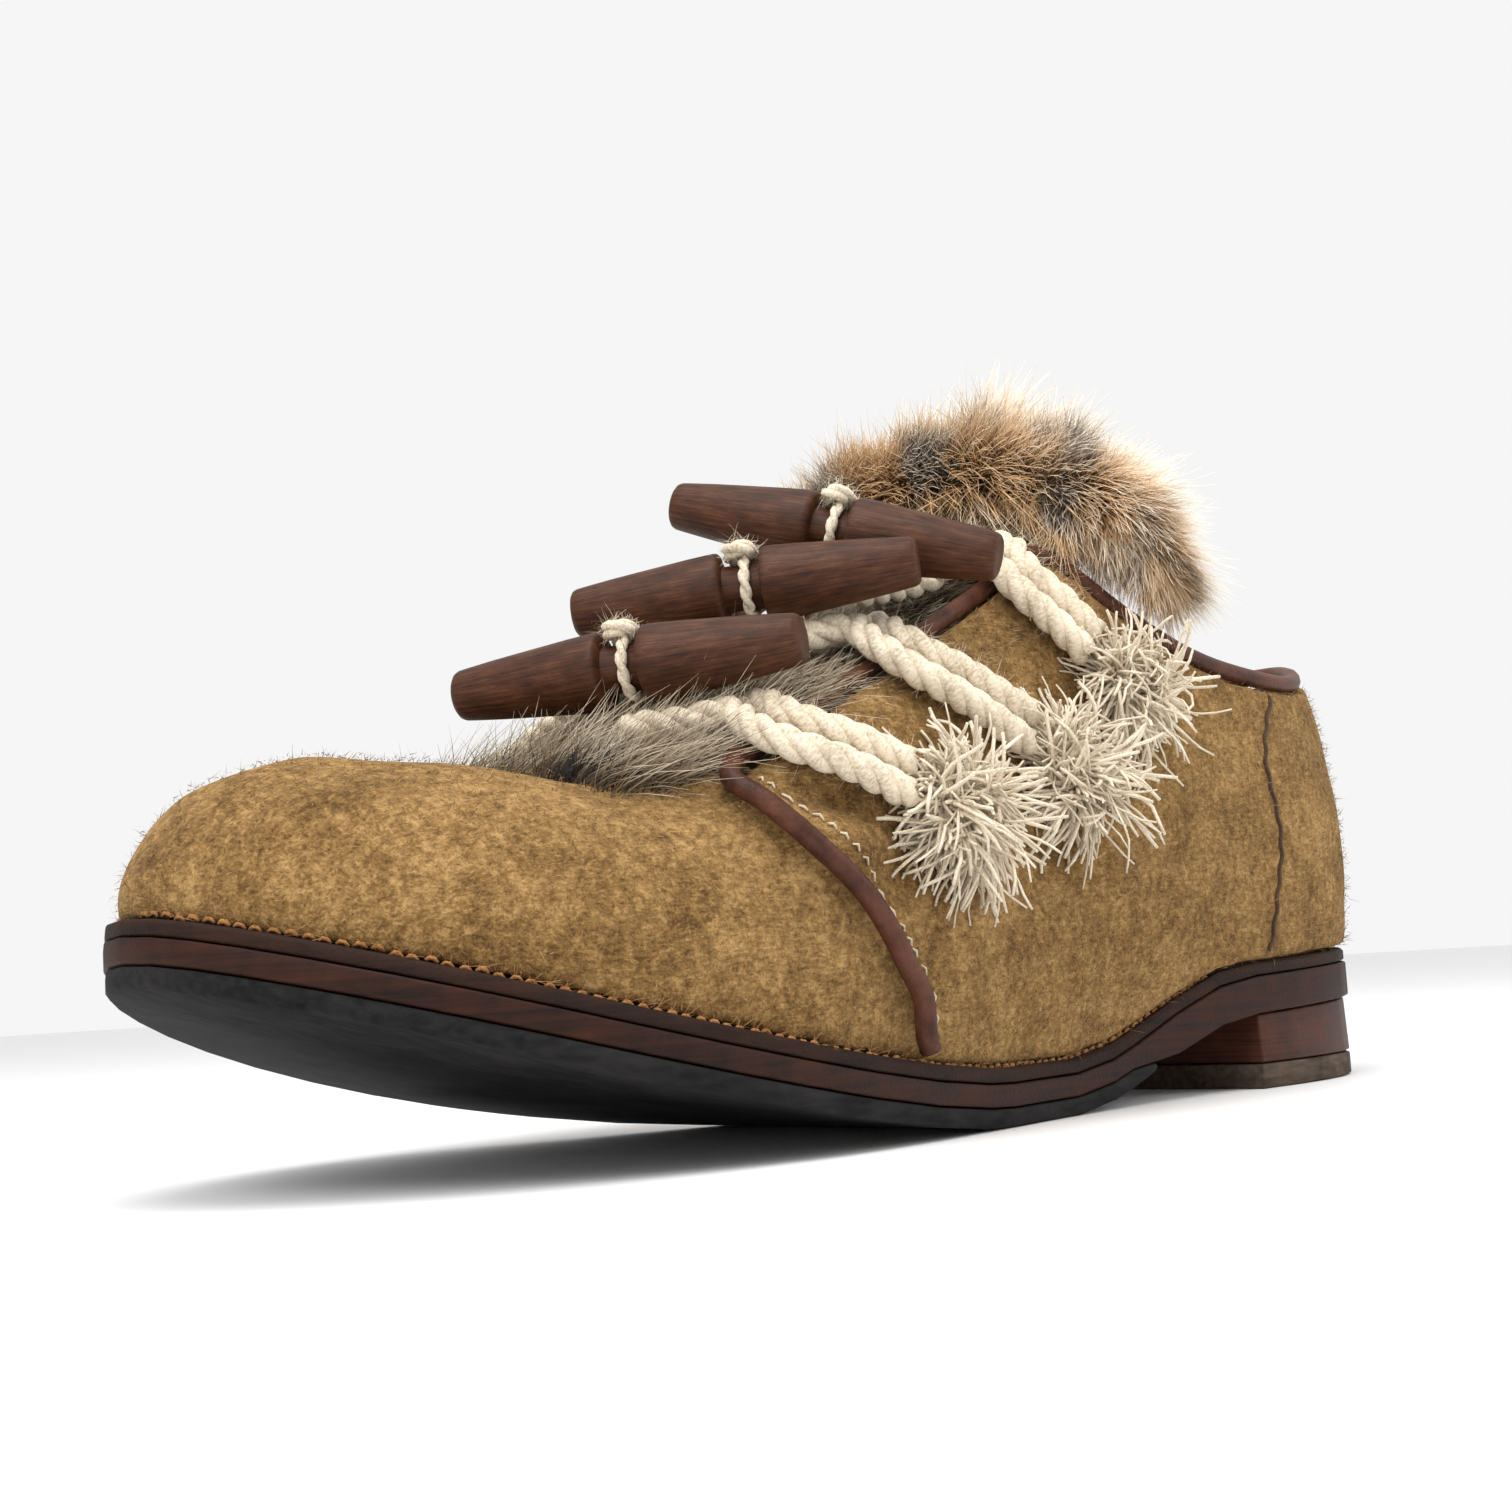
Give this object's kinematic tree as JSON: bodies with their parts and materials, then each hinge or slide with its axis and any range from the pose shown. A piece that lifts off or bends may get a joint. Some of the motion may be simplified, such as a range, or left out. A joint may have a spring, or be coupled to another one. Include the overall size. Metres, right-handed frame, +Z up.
{
  "type": "toggle shoe",
  "caption": "Low men's left shoe of thick felt on a welted leather sole with a stacked heel, with a fur tongue and wooden toggles that button through cotton rope loops.",
  "frame": {"origin": "centre of the heel's ground face, on the plane that the shoe stands on", "axes": "+X from the toe to the heel, so the toe points to -X; +Y to the medial (inner) side; +Z up"},
  "size_m": [0.3016, 0.1089, 0.15],
  "materials": {
    "felt": "thick mottled ochre wool felt, matt and slightly hairy",
    "rubber": "worn dark grey rubber",
    "sole_leather": "dark brown dyed edge, smooth",
    "welt_leather": "dark brown dyed edge, dull",
    "heel_leather": "reddish brown stacked leather, rubbed smooth",
    "lift": "grey brown rubber, dull",
    "insole_leather": "plain tan leather",
    "fur": "soft fur in grey, cream and ochre",
    "binding": "chestnut brown, softly glossy",
    "rope": "natural twisted cotton, matt",
    "wood": "turned wood with a dark brown stain, satin"
  },
  "bodies": {
    "root": {"edge_binding": "binding", "fur_ruff": "fur", "fur_tongue": "fur", "heel_stack": "heel_leather", "insole": "insole_leather", "leather_outsole": "sole_leather", "rope_lateral_1": "rope", "rope_lateral_2": "rope", "rope_lateral_3": "rope", "rope_medial_1": "rope", "rope_medial_2": "rope", "rope_medial_3": "rope", "rubber_half_sole": "rubber", "toggle_1": "wood", "toggle_2": "wood", "toggle_3": "wood", "top_lift": "lift", "tuft_lateral_1": "rope", "tuft_lateral_2": "rope", "tuft_lateral_3": "rope", "tuft_medial_1": "rope", "tuft_medial_2": "rope", "tuft_medial_3": "rope", "upper": "felt", "welt": "welt_leather"}
  },
  "joints": []
}
